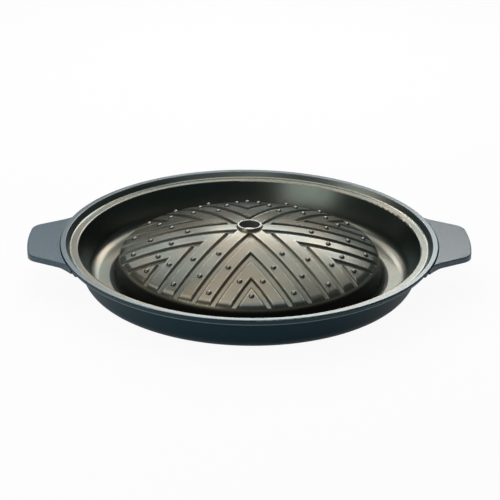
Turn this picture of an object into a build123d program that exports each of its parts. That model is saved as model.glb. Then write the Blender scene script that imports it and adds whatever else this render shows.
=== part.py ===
from build123d import *
from math import asin, cos, degrees, hypot, radians, sin, sqrt
import os

os.makedirs("parts", exist_ok=True)

# A domed grill pan, cast in one piece, with two moulded side handles held by screws.
# The origin is at the centre of the flat bottom, +Z is up and the handles lie along X.
# Lengths are in millimetres and angles in degrees.

# Dome, up to its rounded edge
crown_radius = 270.0
dome_edge_radius = 109.2
dome_edge_height = 20.0
dome_edge_rounding = 9.0
dome_side_run = 5.4
dome_wall = 4.6
dome_foot_fillet = 3.5
hollow_corner_fillet = 5.0

# Moat and sloped wall, outwards from the dome
base_thickness = 5.0
moat_width = 20.0
moat_corner_radius = 10.0
wall_run = 10.4
wall_height = 26.8
wall_thickness = 4.7
foot_edge_rounding = 1.5

# Lid seat and rim
seat_width = 6.9
seat_depth = 4.6
seat_step_run = 3.5
seat_lip_rounding = 1.6
seat_corner_fillet = 1.2
rim_face_width = 5.2
rim_side_height = 6.0
rim_undercut = 3.9
rim_cove_drop = 4.0
rim_cove_fillet = 3.0
rim_inner_rounding = 0.7
rim_outer_rounding = 0.8
rim_lower_rounding = 1.2

# Hole at the crown, with its raised ring
hole_radius = 8.7
ring_wall = 1.7
ring_draft = 0.8
ring_height = 2.1
ring_rounding = 0.5

# Sectors of nested V grooves
sector_count = 6
groove_count = 3
groove_pitch = 16.8
groove_depth = 2.0
groove_floor_width = 3.8
groove_mouth_width = 5.4
groove_floor_rounding = 0.6
groove_shoulder_drop = 0.25
groove_shoulder_run = 1.2
groove_shoulder_rise = 0.35
groove_shoulder_rounding = 0.8

# Dimples, on the lands between the grooves
dimple_edge_margin = 9.3
dimple_ring_pitch = 15.7
dimple_ball_radius = 2.5
dimple_height = 1.9

# Cast pad and tongue under the rim, one pair for each handle
pad_half_angle = 23.2
pad_stand_out = 0.3
pad_drop = 1.8
pad_end_rounding = 1.5
tongue_half_width = 14.5
tongue_thickness = 5.5
tongue_top_drop = 5.9
tongue_reach = 11.4
tongue_corner_radius = 3.0

# Handle
handle_reach = 27.0
handle_top_drop = 1.2
handle_thickness = 4.8
handle_root_half_width = 49.7
handle_tip_half_width = 31.9
handle_tip_corner = 14.0
handle_flare_run = 9.0
handle_flare_width = 6.0
handle_flare_tip = 1.2
handle_root_drop = 1.8
handle_root_run = 7.0
handle_root_blend = 12.0
handle_edge_rounding = 1.0
handle_seam = 0.45
handle_seam_rounding = 0.4

# Housing under the handle, which takes the tongue
housing_side_wall = 3.9
housing_end_wall = 3.6
housing_floor = 3.0
housing_corner_radius = 5.0
housing_edge_rounding = 1.8
tongue_clearance = 0.3

# Screws and washers
screw_end_distance = 7.0
screw_half_spacing = 8.0
screw_diameter = 4.0
screw_fit = 0.05
screw_hole_clearance = 0.25
screw_tip_gap = 0.2
screw_tip_chamfer = 0.4
screw_head_diameter = 8.0
screw_head_height = 3.1
screw_head_rounding = 1.2
recess_length = 4.4
recess_width = 0.9
recess_depth = 1.8
recess_draft = 12.0
spring_washer_diameter = 7.6
spring_washer_thickness = 0.9
spring_washer_gap = 0.7
plain_washer_diameter = 9.0
plain_washer_thickness = 0.8
washer_bore_clearance = 0.15

# How far cutters run past what they cut
overrun = 2.0
turn_overrun = 3.0

# Radii and heights of the casting that follow from the sizes above
seat_height = base_thickness + wall_height
rim_height = seat_height + seat_depth
rim_foot_height = rim_height - rim_side_height
wall_head_height = rim_foot_height - rim_cove_drop
dome_top_of_edge = base_thickness + dome_edge_height
crown_centre = dome_top_of_edge - sqrt(crown_radius**2 - dome_edge_radius**2)
dome_foot_radius = dome_edge_radius + dome_side_run
floor_outer_radius = dome_foot_radius + moat_width
seat_inner_radius = floor_outer_radius + wall_run
seat_outer_radius = seat_inner_radius + seat_width
rim_inner_radius = seat_outer_radius + seat_step_run
rim_radius = rim_inner_radius + rim_face_width
rim_foot_radius = rim_radius - rim_undercut
rim_side_slope = rim_undercut / rim_side_height
wall_slope = wall_run / wall_height
wall_offset = wall_thickness * hypot(wall_run, wall_height) / wall_height


def wall_outside(height):
    """Radius of the wall's outer face at a height."""
    return floor_outer_radius + wall_offset + (height - base_thickness) * wall_slope


def on_crown(radius, depth=0):
    """Point of the dome's section at a radius, on its surface or at a depth below it."""
    return (radius, crown_centre + sqrt((crown_radius - depth) ** 2 - radius**2))


def on_circle(radius, across):
    """Point of a circle round the pan's axis, at a distance across the X axis."""
    return Vector(sqrt(radius**2 - across**2), across)


def upright(angle):
    """Upright plane through the pan's axis, turned from the XZ plane by an angle."""
    turn = radians(angle)
    return Plane(origin=(0, 0, 0), x_dir=(cos(turn), sin(turn), 0), z_dir=(sin(turn), -cos(turn), 0))


# Hollow of the dome: its side is parallel to the outer face, and meets the underside at a corner
side_length = hypot(dome_side_run, dome_edge_height)
side_out = dome_side_run / side_length
side_down = dome_edge_height / side_length
inner_edge_radius = dome_edge_radius - dome_wall * side_down
inner_edge_height = dome_top_of_edge - dome_wall * side_out
hollow_foot_radius = inner_edge_radius + inner_edge_height * side_out / side_down
half_term = inner_edge_radius * side_out - (inner_edge_height - crown_centre) * side_down
last_term = inner_edge_radius**2 + (inner_edge_height - crown_centre) ** 2 - (crown_radius - dome_wall) ** 2
along_side = -half_term - sqrt(half_term**2 - last_term)
hollow_corner = on_crown(inner_edge_radius + along_side * side_out, dome_wall)

# Corners of the casting's turned section, from the dome's foot outwards and back over the top,
# each with the radius of its rounding
section_corners = [
    (hollow_foot_radius, 0, foot_edge_rounding),
    (wall_outside(0), 0, moat_corner_radius + wall_thickness),
    (wall_outside(wall_head_height), wall_head_height, rim_cove_fillet),
    (rim_foot_radius, rim_foot_height, rim_lower_rounding),
    (rim_radius, rim_height, rim_outer_rounding),
    (rim_inner_radius, rim_height, rim_inner_rounding),
    (seat_outer_radius, seat_height, seat_corner_fillet),
    (seat_inner_radius, seat_height, seat_lip_rounding),
    (floor_outer_radius, base_thickness, moat_corner_radius),
    (dome_foot_radius, base_thickness, dome_foot_fillet),
    (dome_edge_radius, dome_top_of_edge, dome_edge_rounding),
]

# Grooves of one sector. Each arm is turned about a level axis, so that it follows the dome. The arms
# run beside the spoke at angle zero, and meet their mirror images at the sector's middle.
half_sector = 180 / sector_count
sector_middle = upright(half_sector)
level_axis = Axis((0, 0, crown_centre), (0, 1, 0))
groove_sweep = degrees(asin((dome_foot_radius + overrun) / crown_radius))
groove_reach = groove_mouth_width / 2 + groove_shoulder_run
floor_corners = [(-groove_floor_width / 2, -groove_depth), (groove_floor_width / 2, -groove_depth)]
shoulder_corners = [
    (groove_mouth_width / 2, -groove_shoulder_drop),
    (-groove_mouth_width / 2, -groove_shoulder_drop),
]

with BuildPart() as grooves:
    for lane in range(groove_count):
        from_spoke = (lane + 1 / 2) * groove_pitch
        arm_radius = sqrt(crown_radius**2 - from_spoke**2)
        across_groove = Plane(
            origin=(0, from_spoke, crown_centre + arm_radius),
            x_dir=(0, arm_radius, -from_spoke),
            z_dir=(1, 0, 0),
        )
        with BuildSketch(across_groove) as groove:
            with BuildLine():
                Polyline(
                    *floor_corners,
                    shoulder_corners[0],
                    (groove_reach, groove_shoulder_rise),
                    (-groove_reach, groove_shoulder_rise),
                    shoulder_corners[1],
                    close=True,
                )
            make_face()
            for corner in floor_corners:
                fillet(groove.vertices().sort_by_distance(corner)[0], groove_floor_rounding)
            for corner in shoulder_corners:
                fillet(groove.vertices().sort_by_distance(corner)[0], groove_shoulder_rounding)
        revolve(axis=level_axis, revolution_arc=groove_sweep)
    split(bisect_by=sector_middle, keep=Keep.TOP)
    mirror(about=sector_middle)

# Dimples stand in rows along the lands, at the crossings with evenly spaced rings. Row 0 lies on the
# spoke. Each row starts one ring further out than the row before, and takes every second ring.
ball_from_centre = crown_radius + dimple_height - dimple_ball_radius
dimple_places = []
for row in range(groove_count + 1):
    for ring in range(row, groove_count + 1, 2):
        rings_inside_edge = groove_count - ring
        dimple_radius = dome_edge_radius - dimple_edge_margin - rings_inside_edge * dimple_ring_pitch
        tilt = asin(dimple_radius / (crown_radius + dimple_height))
        turn = min(degrees(asin(row * groove_pitch / dimple_radius)), half_sector)
        turns = [turn, -turn] if 0 < turn < half_sector else [turn]
        for start in turns:
            for sector in range(sector_count):
                angle = radians(start + 2 * half_sector * sector)
                out = ball_from_centre * sin(tilt)
                up = crown_centre + ball_from_centre * cos(tilt)
                dimple_places.append((out * cos(angle), out * sin(angle), up))

# Ring round the hole
ring_outer_radius = hole_radius + ring_wall
ring_foot_radius = ring_outer_radius + ring_draft
ring_top = crown_centre + crown_radius + ring_height
ring_root = on_crown(ring_foot_radius, dome_wall / 2)[1]

# Pads and tongues, and the screws' places in the tongues
pad_radius = rim_foot_radius + pad_stand_out
pad_bottom = rim_foot_height - pad_drop
pad_top = rim_foot_height + 2 * pad_stand_out / rim_side_slope
tongue_top = rim_height - tongue_top_drop
tongue_bottom = tongue_top - tongue_thickness
tongue_root_radius = wall_outside(tongue_bottom) - wall_offset / 2
tongue_tip_radius = rim_radius + tongue_reach
screw_place = tongue_tip_radius - screw_end_distance
screw_places = [
    ("right_front", screw_place, -screw_half_spacing),
    ("right_rear", screw_place, screw_half_spacing),
    ("left_front", -screw_place, -screw_half_spacing),
    ("left_rear", -screw_place, screw_half_spacing),
]

with BuildPart() as pads:
    with BuildSketch(upright(-pad_half_angle)):
        with BuildLine():
            Polyline(
                (wall_outside(pad_bottom), pad_bottom),
                (pad_radius, pad_bottom),
                (pad_radius, pad_top),
                (wall_outside(pad_bottom), pad_top),
                close=True,
            )
        make_face()
    revolve(axis=Axis.Z, revolution_arc=2 * pad_half_angle)
    fillet(pads.edges().filter_by(Axis.Z).sort_by_distance((0, 0, 0))[-2:], pad_end_rounding)
    mirror(about=Plane.YZ)

with BuildPart() as pan_body:
    with BuildSketch(Plane.XZ) as section:
        with BuildLine():
            Polyline([(x, y) for x, y, rounding in section_corners])
            ThreePointArc(
                on_crown(dome_edge_radius),
                on_crown((dome_edge_radius + hole_radius) / 2),
                on_crown(hole_radius),
            )
            Line(on_crown(hole_radius), on_crown(hole_radius, dome_wall))
            ThreePointArc(
                on_crown(hole_radius, dome_wall),
                on_crown((hollow_corner[0] + hole_radius) / 2, dome_wall),
                hollow_corner,
            )
            Line(hollow_corner, (hollow_foot_radius, 0))
        make_face()
        for x, y, rounding in section_corners:
            fillet(section.vertices().sort_by_distance((x, y))[0], rounding)
        fillet(section.vertices().sort_by_distance(hollow_corner)[0], hollow_corner_fillet)
    revolve(axis=Axis.Z)
    with PolarLocations(0, sector_count):
        add(grooves.part, mode=Mode.SUBTRACT)
    with Locations(dimple_places):
        Sphere(dimple_ball_radius)
    with BuildSketch(Plane.XZ) as ring_section:
        with BuildLine():
            Polyline(
                (hole_radius, ring_root),
                (ring_foot_radius, ring_root),
                on_crown(ring_foot_radius),
                (ring_outer_radius, ring_top),
                (hole_radius, ring_top),
                close=True,
            )
        make_face()
        fillet(ring_section.vertices().group_by(Axis.Y)[-1], ring_rounding)
    revolve(axis=Axis.Z)
    add(pads.part)
    with BuildSketch(Plane.XY.offset(tongue_bottom)) as tongue_plan:
        with Locations(((tongue_root_radius + tongue_tip_radius) / 2, 0)):
            Rectangle(tongue_tip_radius - tongue_root_radius, 2 * tongue_half_width)
        fillet(tongue_plan.vertices().group_by(Axis.X)[-1], tongue_corner_radius)
        mirror(about=Plane.YZ)
    extrude(amount=tongue_thickness)
    with Locations([(x, y, tongue_bottom) for place, x, y in screw_places]):
        Hole(screw_diameter / 2 + screw_fit)

pan_body.part.label = "pan_body"
export_step(pan_body.part, "parts/pan_body.step")

# Handle. Its inner end follows the rim's sloped side and the pad, with a narrow seam between.
handle_top = rim_height - handle_top_drop
handle_bottom = handle_top - handle_thickness
handle_root_bottom = handle_bottom - handle_root_drop
handle_tip_radius = rim_radius + handle_reach
handle_root_radius = pad_radius + handle_seam
seam_across = handle_seam * hypot(rim_undercut, rim_side_height) / rim_side_height
seam_top = (rim_radius - handle_top_drop * rim_side_slope + seam_across, handle_top)
seam_knee = (handle_root_radius, handle_top - (seam_top[0] - handle_root_radius) / rim_side_slope)
root_knee = (handle_root_radius + handle_root_run, handle_bottom)

# Half of the handle's outline in plan. A flare widens the handle where it meets the rim, and ends
# in a thin tip against the pad.
tip_middle = on_circle(handle_tip_radius, handle_tip_half_width / 2)
tip_corner = on_circle(handle_tip_radius, handle_tip_half_width)
root_corner = on_circle(rim_radius, handle_root_half_width)
inwards = (root_corner - tip_corner).normalized()
flare_start = root_corner - inwards * handle_flare_run
flare_end = on_circle(handle_root_radius + handle_flare_tip, handle_root_half_width + handle_flare_width)
flare_inner = flare_end.normalized() * (pad_radius - overrun)
handle_sweep = degrees(asin(flare_end.Y / rim_radius)) + turn_overrun

housing_half_width = tongue_half_width + tongue_clearance + housing_side_wall
housing_end = tongue_tip_radius + tongue_clearance + housing_end_wall
housing_bottom = tongue_bottom - housing_floor
pocket_end = tongue_tip_radius + tongue_clearance

with BuildPart() as housing:
    with BuildSketch(Plane.XY.offset(housing_bottom)) as housing_plan:
        with Locations((housing_end / 2, 0)):
            Rectangle(housing_end, 2 * housing_half_width)
        fillet(housing_plan.vertices().group_by(Axis.X)[-1], housing_corner_radius)
        Circle(handle_root_radius, mode=Mode.SUBTRACT)
    extrude(amount=handle_bottom - housing_bottom)
    fillet(housing.faces().sort_by(Axis.Z)[0].edges(), housing_edge_rounding)

with BuildPart() as handle_right:
    with BuildSketch(Plane.XY.offset(handle_root_bottom)) as handle_plan:
        with BuildLine():
            ThreePointArc((handle_tip_radius, 0), tip_middle, tip_corner)
            Line(tip_corner, flare_start)
            TangentArc(flare_start, flare_end, tangent=inwards)
            Polyline(flare_end, flare_inner, (flare_inner.X, 0))
            mirror(about=Plane.XZ)
        make_face()
        for corner in (tip_corner, (tip_corner.X, -tip_corner.Y)):
            fillet(handle_plan.vertices().sort_by_distance(corner)[0], handle_tip_corner)
    extrude(amount=handle_top - handle_root_bottom)
    top_edges = handle_right.faces().sort_by(Axis.Z)[-1].edges()
    outer_edges = top_edges.sort_by_distance((0, 0, handle_top))[3:]
    fillet(outer_edges, handle_edge_rounding)
    with BuildSketch(upright(-handle_sweep)) as handle_section:
        with BuildLine():
            Polyline(
                (handle_root_radius, handle_root_bottom),
                root_knee,
                (handle_tip_radius + overrun, handle_bottom),
                (handle_tip_radius + overrun, handle_top),
                seam_top,
                seam_knee,
                close=True,
            )
        make_face()
        fillet(handle_section.vertices().sort_by_distance(root_knee)[0], handle_root_blend)
        fillet(handle_section.vertices().sort_by_distance(seam_top)[0], handle_seam_rounding)
    revolve(axis=Axis.Z, revolution_arc=2 * handle_sweep, mode=Mode.INTERSECT)
    add(housing.part)
    with BuildSketch(Plane.XY.offset(tongue_bottom)):
        with Locations((pocket_end / 2, 0)):
            Rectangle(pocket_end, 2 * (tongue_half_width + tongue_clearance))
    extrude(amount=tongue_thickness + tongue_clearance, mode=Mode.SUBTRACT)
    with Locations([(screw_place, y, housing_bottom) for y in (-screw_half_spacing, screw_half_spacing)]):
        Cylinder(
            screw_diameter / 2 + screw_hole_clearance,
            housing_floor,
            align=(Align.CENTER, Align.CENTER, Align.MIN),
            mode=Mode.SUBTRACT,
        )

with BuildPart() as handle_left:
    mirror(handle_right.part, about=Plane.YZ)

handle_right.part.label = "handle_right"
export_step(handle_right.part, "parts/handle_right.step")
handle_left.part.label = "handle_left"
export_step(handle_left.part, "parts/handle_left.step")

# Fasteners, stacked under each handle: plain washer, spring washer, then the screw's head
plain_washer_bottom = housing_bottom - plain_washer_thickness
head_seat = plain_washer_bottom - spring_washer_thickness
screw_tip = tongue_top - screw_tip_gap
washer_bore_radius = screw_diameter / 2 + washer_bore_clearance
upwards = (Align.CENTER, Align.CENTER, Align.MIN)

for place, x, y in screw_places:
    with BuildPart() as plain_washer:
        with BuildSketch(Plane((x, y, plain_washer_bottom))):
            Circle(plain_washer_diameter / 2)
            Circle(washer_bore_radius, mode=Mode.SUBTRACT)
        extrude(amount=plain_washer_thickness)

    with BuildPart() as spring_washer:
        with BuildSketch(Plane((x, y, head_seat))):
            Circle(spring_washer_diameter / 2)
            Circle(washer_bore_radius, mode=Mode.SUBTRACT)
            with Locations((spring_washer_diameter / 2, 0)):
                Rectangle(spring_washer_diameter, spring_washer_gap, mode=Mode.SUBTRACT)
        extrude(amount=spring_washer_thickness)

    with BuildPart() as screw:
        with Locations((x, y, head_seat - screw_head_height)):
            Cylinder(screw_head_diameter / 2, screw_head_height, align=upwards)
        fillet(screw.edges().group_by(Axis.Z)[0], screw_head_rounding)
        with Locations((x, y, head_seat)):
            Cylinder(screw_diameter / 2, screw_tip - head_seat, align=upwards)
        chamfer(screw.edges().group_by(Axis.Z)[-1], screw_tip_chamfer)
        with BuildSketch(Plane((x, y, head_seat - screw_head_height))):
            Rectangle(recess_length, recess_width)
            Rectangle(recess_width, recess_length)
        extrude(amount=recess_depth, taper=recess_draft, mode=Mode.SUBTRACT)

    for name, piece in (
        ("plain_washer", plain_washer.part),
        ("spring_washer", spring_washer.part),
        ("handle_screw", screw.part),
    ):
        piece.label = f"{name}_{place}"
        export_step(piece, f"parts/{name}_{place}.step")
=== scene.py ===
"""Finishes, studio and camera for a domed grill pan with two moulded handles."""

from math import cos, pi, radians, sin

import bpy
from bpy.props import FloatProperty, FloatVectorProperty, PointerProperty
from mathutils import Matrix, Vector


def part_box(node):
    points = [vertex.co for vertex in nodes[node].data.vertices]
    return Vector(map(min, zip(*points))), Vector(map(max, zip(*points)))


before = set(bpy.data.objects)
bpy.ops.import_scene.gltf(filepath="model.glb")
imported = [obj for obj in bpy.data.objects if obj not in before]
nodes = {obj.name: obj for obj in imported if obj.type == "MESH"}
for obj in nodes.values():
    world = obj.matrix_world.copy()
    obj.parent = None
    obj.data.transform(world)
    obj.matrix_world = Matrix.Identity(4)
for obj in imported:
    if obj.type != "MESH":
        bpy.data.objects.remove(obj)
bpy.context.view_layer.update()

bl_info = {
    "name": "Domed Grill Pan",
    "version": (1, 0, 0),
    "blender": (4, 5, 0),
    "location": "View3D > Sidebar > Grill Pan",
    "description": "Gives a domed grill pan its coats and mouldings, and sets up a small studio",
    "category": "Object",
}

pan_low, pan_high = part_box("pan_body")

# The casting's radii and heights, in metres
rim_radius = pan_high.y
rim_face_width = 0.0052
rim_underside = 0.0304
coat_edge_radius = rim_radius - rim_face_width
seat_radius = 0.1519
dome_radius = 0.1092
crown_radius = 0.270
ring_height = 0.0021
ring_radius = 0.0112
crown_centre = pan_high.z - ring_height - crown_radius

# The grooves nest in six sectors of the dome, at an even pitch from each sector's middle line
sector_half_angle = pi / 6
groove_pitch = 0.0168
groove_half_width = 0.0027

# Masks over the pan, in metres. A blend is (start, end) and a band is (start, end, softness)

# Outwards from the pan's axis
pattern_start_blend = (0.012, 0.013)
ring_edge_blend = (ring_radius, ring_radius + 0.0005)
dome_edge_blend = (dome_radius, dome_radius + 0.001)
foot_band = (dome_radius + 0.002, dome_radius + 0.0085, 0.002)
wall_start_blend = (0.125, 0.130)
seat_edge_band = (seat_radius - 0.0012, seat_radius, 0.0008)
flange_start_blend = (0.153, 0.155)
coat_edge_blend = (coat_edge_radius - 0.0002, coat_edge_radius)

# Outwards from the edge of a groove
groove_edge_blend = (-0.0004, 0)
shoulder_band = (0.0003, 0.0006, 0.0002)
lip_band = (0.0012, 0.0016, 0.0003)

# Upwards from the dome's sphere
moat_floor_blend = (-0.004, -0.002)
collar_band = (0.0001, 0.0005, 0.0001)
stud_blend = (0.0007, 0.0013)
ring_top_blend = (0.0014, 0.0018)

# Upwards from the plane that the pan stands on
scuff_blend = (pan_low.z + 0.0002, pan_low.z + 0.0008)
rim_edge_band = (rim_underside, rim_underside + 0.0009, 0.0003)

# Size and depth of each finish's grain, in metres
flake_size = 0.0004
flake_depth = 0.000008
peel_size = 0.0018
peel_depth = 0.00002
mottle_size = 0.005
patch_size = 0.045
stipple_size = 0.0011
stipple_depth = 0.00008
handling_size = 0.012
plating_size = 0.0008
plating_depth = 0.00001
tarnish_size = 0.003

# The studio's panels: name, place, width and height in metres, radiance and tint
panels = (
    ("back_softbox", (0.15, 0.75, 0.68), (0.70, 0.54), 1.80, (1.0, 0.97, 0.90)),
    ("key_strip", (0.14, 0.74, 0.44), (0.52, 0.14), 5.20, (1.0, 0.97, 0.93)),
    ("cool_strip", (-0.21, 0.74, 0.44), (0.18, 0.14), 1.50, (0.92, 0.97, 1.0)),
    ("cool_side", (-0.35, 0.75, 0.65), (0.30, 0.60), 1.70, (0.92, 0.97, 0.97)),
    ("overhead", (0.0, 0.35, 1.0), (0.60, 0.50), 1.50, (1.0, 0.99, 0.90)),
    ("overhead_left", (-0.6, 0.10, 1.0), (0.60, 1.00), 1.80, (0.97, 1.0, 0.95)),
    ("front_left", (-0.8, -0.80, 0.40), (0.75, 0.55), 1.80, (0.97, 1.04, 0.97)),
    ("front_top", (0.1, -0.20, 1.15), (1.00, 0.70), 1.30, (0.88, 1.0, 1.08)),
)
sky_colour = (0.6, 0.92, 1.0)
sky_strength = 0.05

# The floor is partly plain white to the camera and to mirror rays. The rest of it takes the shadow
floor_radius = 12.0
floor_grey = 0.85
camera_white = 0.94
mirror_white = 0.6

# The point that the camera looks at, and the width of its sensor in millimetres
aim = Vector((0.00061, 0, 0.02634))
sensor_width = 36.0


# Shader expressions


class Signal:
    """An output socket of a node tree. Python's operators on it add Math nodes."""

    def __init__(self, graph, socket):
        self.graph = graph
        self.socket = socket

    def math(self, operation, *terms):
        return self.graph.node("ShaderNodeMath", {"operation": operation}, dict(enumerate(terms)))

    def __add__(self, other):
        return self.math("ADD", self, other)

    def __sub__(self, other):
        return self.math("SUBTRACT", self, other)

    def __rsub__(self, other):
        return self.math("SUBTRACT", other, self)

    def __mul__(self, other):
        return self.math("MULTIPLY", self, other)

    def __pow__(self, other):
        return self.math("POWER", self, other)

    def __mod__(self, other):
        return self.math("MODULO", self, other)

    def __abs__(self):
        return self.math("ABSOLUTE", self)

    __radd__ = __add__
    __rmul__ = __mul__

    def sine(self):
        return self.math("SINE", self)

    def above(self, low, high):
        """0 below low, 1 above high and a smooth rise between them."""
        settings = {"interpolation_type": "SMOOTHSTEP"}
        return self.graph.node("ShaderNodeMapRange", settings, {"Value": self, 1: low, 2: high})

    def within(self, low, high, soft):
        """1 between low and high and 0 outside, with soft edges."""
        return self.above(low - soft, low) * (1 - self.above(high, high + soft))

    def out(self, name):
        """Another output of the same node."""
        return Signal(self.graph, self.socket.node.outputs[name])


class Graph:
    """The node tree of a material or a world, emptied and then built up by node()."""

    def __init__(self, owner):
        owner.use_nodes = True
        self.tree = owner.node_tree
        self.tree.nodes.clear()

    def node(self, kind, settings=None, inputs=None):
        """Adds a node, sets what settings names, then fills or links its sockets."""
        added = self.tree.nodes.new(kind)
        for name, value in (settings or {}).items():
            setattr(added, name, value)
        for name, value in (inputs or {}).items():
            if isinstance(value, Signal):
                self.tree.links.new(value.socket, added.inputs[name])
            else:
                added.inputs[name].default_value = value
        return Signal(self, added.outputs[0]) if added.outputs else None

    def coordinates(self, output="Object"):
        """Place on the piece, in metres, or the surface's direction where output is Normal."""
        return self.node("ShaderNodeTexCoord").out(output)

    def parts(self, vector):
        """A vector's X, Y and Z."""
        split = self.node("ShaderNodeSeparateXYZ", {}, {"Vector": vector})
        return split, split.out("Y"), split.out("Z")

    def distance(self, point, centre):
        settings = {"operation": "DISTANCE"}
        return self.node("ShaderNodeVectorMath", settings, {0: point, 1: centre}).out("Value")

    def noise(self, point, size, detail):
        """Noise around 0.5, with features of about this size in metres."""
        inputs = {"Vector": point, "Scale": 1 / size, "Detail": detail}
        return self.node("ShaderNodeTexNoise", {}, inputs)

    def blend(self, factor, low, high):
        """Colour low where factor is 0 and high where it is 1."""
        inputs = {0: factor, 6: low, 7: high}
        return self.node("ShaderNodeMix", {"data_type": "RGBA"}, inputs).out(2)

    def layers(self, ground, *coats):
        """The ground colour under these coats, each a share of the surface and a colour."""
        for share, color in coats:
            ground = self.blend(share, ground, rgba(color))
        return ground

    def bump(self, height, distance, **more):
        return self.node("ShaderNodeBump", {}, {"Height": height, "Distance": distance, **more})

    def surface(self, **inputs):
        """Ends the tree in a Principled shader. An underscore in a name stands for a space."""
        named = {name.replace("_", " "): value for name, value in inputs.items()}
        shader = self.node("ShaderNodeBsdfPrincipled", {}, named)
        self.node("ShaderNodeOutputMaterial", {}, {"Surface": shader})


def rgba(color):
    return (*color, 1.0)


def finish(material_name, *pieces):
    """A new material, put on these CAD nodes in place of their plain one."""
    material = bpy.data.materials.new(material_name)
    for piece in pieces:
        nodes[piece].data.materials.clear()
        nodes[piece].data.materials.append(material)
    return Graph(material)


def colour(name, default, description):
    return FloatVectorProperty(
        name=name, description=description, subtype="COLOR", size=3, min=0, max=1, default=default,
    )


class PanSettings(bpy.types.PropertyGroup):
    """Colours of the casting's two coats, and of the light and shade painted on them."""

    inside: colour("Inside", (0.212, 0.176, 0.134), "Non-stick coat")
    cooler: colour("Cooler", (0.166, 0.161, 0.134), "Cooler patches of the non-stick coat")
    flakes: colour("Flakes", (0.40, 0.38, 0.33), "Bright flakes in the non-stick coat")
    mottling: colour("Mottling", (0.09, 0.085, 0.07), "Darker mottling of the non-stick coat")
    # Painted shade: the steep inner side of the pan takes this darker, cooler coat
    wall_shade: colour("Wall", (0.118, 0.136, 0.124), "Non-stick coat of the wall, which browns less")
    # Painted shade in and beside the grooves, round the studs and raised ring, and round the dome's
    # base
    painted_shade: colour("Residue", (0.010, 0.009, 0.008), "Baked-on residue beside grooves and ring")
    # Painted highlight on the lips of the grooves, the tops of the studs and raised ring, and the
    # seat's edge
    polish_and_highlight: colour("Rubbed", (0.42, 0.41, 0.37), "Non-stick coat where it is rubbed")
    outside: colour("Outside", (0.018, 0.044, 0.058), "Enamel")
    clouding: colour("Clouding", (0.026, 0.060, 0.076), "Paler clouds in the enamel")
    scuffs: colour("Scuffs", (0.10, 0.10, 0.10), "Enamel that the hob has scuffed")
    # Painted reflection: a pale line along the rim's lower edge
    rim_edge_reflection: colour("Rim Edge", (0.28, 0.34, 0.36), "Worn lower edge of the rim")
    rim_face: colour("Rim Face", (0.185, 0.195, 0.206), "Face of the rim")
    gloss: colour("Gloss", (0.80, 0.95, 1.0), "Tint of the coats' gloss")


class HandleSettings(bpy.types.PropertyGroup):
    """Colours of the handle mouldings."""

    moulding: colour("Moulding", (0.040, 0.074, 0.108), "Moulding")
    stipple: colour("Stipple", (0.105, 0.152, 0.200), "Raised grains of the stipple")
    handled: colour("Handled", (0.042, 0.066, 0.09), "Moulding where hands have darkened it")


class FastenerSettings(bpy.types.PropertyGroup):
    """Colours of the screws and washers."""

    zinc: colour("Zinc", (0.58, 0.57, 0.52), "Plating of the screws and plain washers")
    spring_steel: colour("Spring Steel", (0.22, 0.21, 0.20), "Oiled steel of the spring washers")


class StudioSettings(bpy.types.PropertyGroup):
    """Camera and light."""

    azimuth: FloatProperty(
        name="Azimuth", description="Turn of the camera round the pan", subtype="ANGLE",
        default=radians(-1.335),
    )
    elevation: FloatProperty(
        name="Elevation", description="Height of the camera above the pan's plane", subtype="ANGLE",
        default=radians(23.71),
    )
    roll: FloatProperty(
        name="Roll", description="Tilt of the picture", subtype="ANGLE", default=radians(0.657),
    )
    distance: FloatProperty(
        name="Distance", description="Camera to the middle of the pan", unit="LENGTH",
        default=1.91075,
    )
    lens: FloatProperty(
        name="Lens", description="Focal length, in millimetres", unit="CAMERA", default=162.02,
    )
    lamps: FloatProperty(name="Lamps", description="Strength of all the lamps together", default=1)


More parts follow.
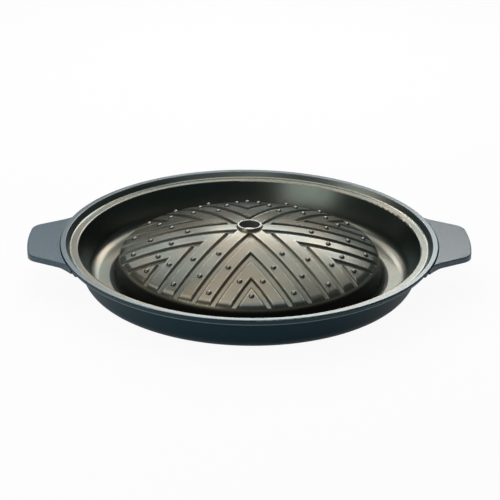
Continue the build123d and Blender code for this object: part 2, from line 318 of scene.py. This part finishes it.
class GRILLPAN_OT_casting(bpy.types.Operator):
    """Coat the casting: dark enamel outside, pewter non-stick inside"""

    bl_idname = "grillpan.casting"
    bl_label = "Casting"

    def execute(self, context):
        colours = context.scene.grillpan_pan
        graph = finish("satin_coats", "pan_body")
        point = graph.coordinates()
        x, y, z = graph.parts(point)
        up = graph.parts(graph.coordinates("Normal"))[2]
        radius = (x**2 + y**2) ** 0.5
        rise = graph.distance(point, (0, 0, crown_centre)) - crown_radius
        beside_groove = self.beside_groove(x, y, radius)

        # The non-stick coat ends in a sharp line at the rim's face, which is paler than the enamel
        inside = up.above(-0.03, 0.03) * (1 - radius.above(*coat_edge_blend))
        rim_face = up.above(0.2, 0.6) * (1 - inside) * 0.85
        # Painted shade: a darker, cooler coat on the steep inner side of the pan
        steep = radius.above(*wall_start_blend) * (1 - up.above(0.5, 0.85))
        on_dome = (1 - radius.above(*dome_edge_blend)) * radius.above(*pattern_start_blend)

        # Fine flake in the coat, a mottling a few millimetres wide and broad cooler patches
        flake = graph.noise(point, flake_size, 2.0)
        mottle = graph.noise(point, mottle_size, 3.0)
        patches = graph.noise(point, patch_size, 2.0).above(0.40, 0.60)

        # Painted shade darkens the grooves and their shoulders, a ring round the studs and the
        # raised ring, and the base of the dome
        groove = on_dome * (1 - beside_groove.above(*groove_edge_blend))
        shoulder_shade = on_dome * beside_groove.within(*shoulder_band)
        collar_shade = on_dome * rise.within(*collar_band)
        foot_shade = radius.within(*foot_band) * (1 - rise.above(*moat_floor_blend))
        painted_shade = (groove * 0.05 + shoulder_shade * 0.55 + collar_shade * 0.75 + foot_shade).above(0, 1)

        # Painted highlights lighten the lips of the grooves, the tops of the studs and raised ring
        # and the seat's edge, which are also glossier where food, cloth and lid rub them
        lip_highlight = on_dome * beside_groove.within(*lip_band)
        studs = on_dome * rise.above(*stud_blend)
        ring = (1 - radius.above(*ring_edge_blend)) * rise.above(*ring_top_blend)
        seat_edge_highlight = radius.within(*seat_edge_band)
        polish_and_highlight = lip_highlight * mottle.above(0.38, 0.62) * 0.55 + studs * 0.25 + (ring + seat_edge_highlight) * 0.4

        # The hob scuffs the ring that the pan stands on. A painted reflection lightens the rim's
        # lower edge
        scuffs = (1 - z.above(*scuff_blend)) * mottle.above(0.52, 0.62) * 0.4
        rim_edge_reflection = z.within(*rim_edge_band) * radius.above(*flange_start_blend)

        pewter = graph.layers(
            rgba(colours.inside),
            (patches, colours.cooler),
            (flake.above(0.56, 0.72) * 0.30, colours.flakes),
            (mottle.above(0.55, 0.75) * 0.25, colours.mottling),
            (steep * 0.75, colours.wall_shade),
            (painted_shade, colours.painted_shade),
            (polish_and_highlight, colours.polish_and_highlight),
        )
        enamel = graph.layers(
            rgba(colours.outside),
            (mottle.above(0.55, 0.75) * 0.3, colours.clouding),
            (scuffs, colours.scuffs),
            (rim_edge_reflection * (0.3 + 0.6 * mottle), colours.rim_edge_reflection),
            (rim_face, colours.rim_face),
        )
        bare = inside * (1 - painted_shade)
        satin = 0.27 + 0.05 * mottle - 0.08 * polish_and_highlight - 0.15 * studs
        grain = graph.bump(flake, flake_depth)
        graph.surface(
            Base_Color=graph.blend(inside, enamel, pewter),
            Metallic=bare * (0.75 + 0.25 * steep) + rim_face,
            Roughness=satin + 0.12 * (1 - inside - rim_face),
            Specular_IOR_Level=0.06,
            Specular_Tint=rgba(colours.gloss),
            Coat_Weight=0.3 * (bare + rim_face),
            Coat_Roughness=0.2,
            Normal=graph.bump(graph.noise(point, peel_size, 1.0), peel_depth, Normal=grain),
        )
        return {"FINISHED"}

    def beside_groove(self, x, y, radius):
        """Distance from the edge of the nearest groove, in metres, below 0 in the groove."""
        turn = y.math("ARCTAN2", y, x)
        fold = turn.math("WRAP", turn, sector_half_angle, -sector_half_angle)
        from_groove = abs(abs(radius * fold.sine()) % groove_pitch - groove_pitch / 2)
        return from_groove - groove_half_width


class GRILLPAN_OT_handles(bpy.types.Operator):
    """Give both handles their matte stippled moulding"""

    bl_idname = "grillpan.handles"
    bl_label = "Handles"

    def execute(self, context):
        colours = context.scene.grillpan_handles
        graph = finish("stippled_moulding", "handle_right", "handle_left")
        point = graph.coordinates()
        stipple = graph.noise(point, stipple_size, 2.0)
        handled = graph.noise(point, handling_size, 3.0)
        slate = graph.layers(
            rgba(colours.moulding),
            (stipple.above(0.42, 0.66) * 0.8, colours.stipple),
            (handled.above(0.5, 0.8) * 0.3, colours.handled),
        )
        graph.surface(
            Base_Color=slate,
            Roughness=0.28 + 0.10 * stipple - 0.05 * handled,
            Normal=graph.bump(stipple, stipple_depth),
        )
        return {"FINISHED"}


class GRILLPAN_OT_fasteners(bpy.types.Operator):
    """Give screws and washers their plated or oiled steel"""

    bl_idname = "grillpan.fasteners"
    bl_label = "Fasteners"

    def execute(self, context):
        colours = context.scene.grillpan_fasteners
        self.plate("zinc_plate", ("screw", "plain_washer"), colours.zinc, 0.28)
        self.plate("oiled_spring_steel", ("spring_washer",), colours.spring_steel, 0.38)
        return {"FINISHED"}

    def plate(self, name, kinds, metal, roughness):
        pieces = [piece for piece in nodes if any(kind in piece for kind in kinds)]
        graph = finish(name, *pieces)
        point = graph.coordinates()
        grain = graph.noise(point, plating_size, 3.0)
        tarnish = graph.noise(point, tarnish_size, 2.0).above(0.5, 0.7)
        dulled = [0.7 * part for part in metal]
        graph.surface(
            Base_Color=graph.layers(rgba(metal), (tarnish * 0.6, dulled)),
            Metallic=1.0,
            Roughness=roughness + 0.15 * grain + 0.10 * tarnish,
            Normal=graph.bump(grain, plating_depth),
        )


class GRILLPAN_OT_stage(bpy.types.Operator):
    """Add the floor, the lamps and the camera"""

    bl_idname = "grillpan.stage"
    bl_label = "Stage"

    def execute(self, context):
        scene = context.scene
        studio = scene.grillpan_studio
        self.add_floor()
        self.add_world(scene)
        for name, place, size, radiance, tint in panels:
            self.add_panel(scene, name, Vector(place), size, radiance * studio.lamps, tint)
        self.add_camera(scene, studio)
        scene.view_settings.view_transform = "Standard"
        return {"FINISHED"}

    def add_floor(self):
        bpy.ops.mesh.primitive_circle_add(vertices=64, radius=floor_radius, fill_type="NGON")
        floor = bpy.context.object
        floor.name = "floor"
        material = bpy.data.materials.new("pale_floor")
        floor.data.materials.append(material)
        graph = Graph(material)
        rays = graph.node("ShaderNodeLightPath")
        mirrored = rays.out("Is Glossy Ray") + rays.out("Is Transmission Ray")
        whiteness = camera_white * rays.out("Is Camera Ray") + mirror_white * mirrored
        paint = graph.node("ShaderNodeBsdfDiffuse", {}, {"Color": rgba([floor_grey] * 3)})
        white = graph.node("ShaderNodeEmission", {}, {"Color": rgba((1, 1, 1)), "Strength": 1.0})
        shader = graph.node("ShaderNodeMixShader", {}, {0: whiteness, 1: paint, 2: white})
        graph.node("ShaderNodeOutputMaterial", {}, {"Surface": shader})

    def add_world(self, scene):
        scene.world = bpy.data.worlds.new("studio")
        graph = Graph(scene.world)
        sky = {"Color": rgba(sky_colour), "Strength": sky_strength}
        shader = graph.node("ShaderNodeBackground", {}, sky)
        graph.node("ShaderNodeOutputWorld", {}, {"Surface": shader})

    def add_panel(self, scene, name, place, size, radiance, tint):
        """A lit panel that faces the pan, as bright as radiance says."""
        light = bpy.data.lights.new(name, "AREA")
        light.shape = "RECTANGLE"
        light.size, light.size_y = size
        light.energy = radiance * pi * light.size * light.size_y
        light.color = tint
        lamp = bpy.data.objects.new(name, light)
        lamp.location = place
        lamp.rotation_euler = place.to_track_quat("Z", "Y").to_euler()
        scene.collection.objects.link(lamp)

    def add_camera(self, scene, studio):
        level, tilt, turn = studio.elevation, studio.roll, studio.azimuth
        right = Vector((1, 0, 0))
        up = Vector((0, sin(level), cos(level)))
        back = Vector((0, -cos(level), sin(level)))
        right, up = cos(tilt) * right + sin(tilt) * up, cos(tilt) * up - sin(tilt) * right
        pose = Matrix.Rotation(turn, 4, "Z") @ Matrix((right, up, back)).transposed().to_4x4()
        pose.translation = Matrix.Rotation(turn, 4, "Z") @ (aim + back * studio.distance)
        camera = bpy.data.objects.new("camera", bpy.data.cameras.new("camera"))
        camera.data.lens = studio.lens
        camera.data.sensor_width = sensor_width
        camera.matrix_world = pose
        scene.collection.objects.link(camera)
        scene.camera = camera


class GRILLPAN_PT_panel(bpy.types.Panel):
    """Colours, camera and build steps of the grill pan"""

    bl_label = "Grill Pan"
    bl_space_type = "VIEW_3D"
    bl_region_type = "UI"
    bl_category = "Grill Pan"

    def draw(self, context):
        for name, group in settings_groups.items():
            for setting in group.__annotations__:
                self.layout.prop(getattr(context.scene, name), setting)
        for operator in operators:
            self.layout.operator(operator.bl_idname)


settings_groups = {
    "grillpan_pan": PanSettings,
    "grillpan_handles": HandleSettings,
    "grillpan_fasteners": FastenerSettings,
    "grillpan_studio": StudioSettings,
}
operators = (
    GRILLPAN_OT_casting,
    GRILLPAN_OT_handles,
    GRILLPAN_OT_fasteners,
    GRILLPAN_OT_stage,
)
classes = (*settings_groups.values(), *operators, GRILLPAN_PT_panel)


def register():
    for item in classes:
        bpy.utils.register_class(item)
    for name, group in settings_groups.items():
        setattr(bpy.types.Scene, name, PointerProperty(type=group))


def unregister():
    for name in settings_groups:
        delattr(bpy.types.Scene, name)
    for item in reversed(classes):
        bpy.utils.unregister_class(item)


def main():
    register()
    bpy.ops.grillpan.casting()
    bpy.ops.grillpan.handles()
    bpy.ops.grillpan.fasteners()
    bpy.ops.grillpan.stage()


if __name__ == "__main__":
    main()
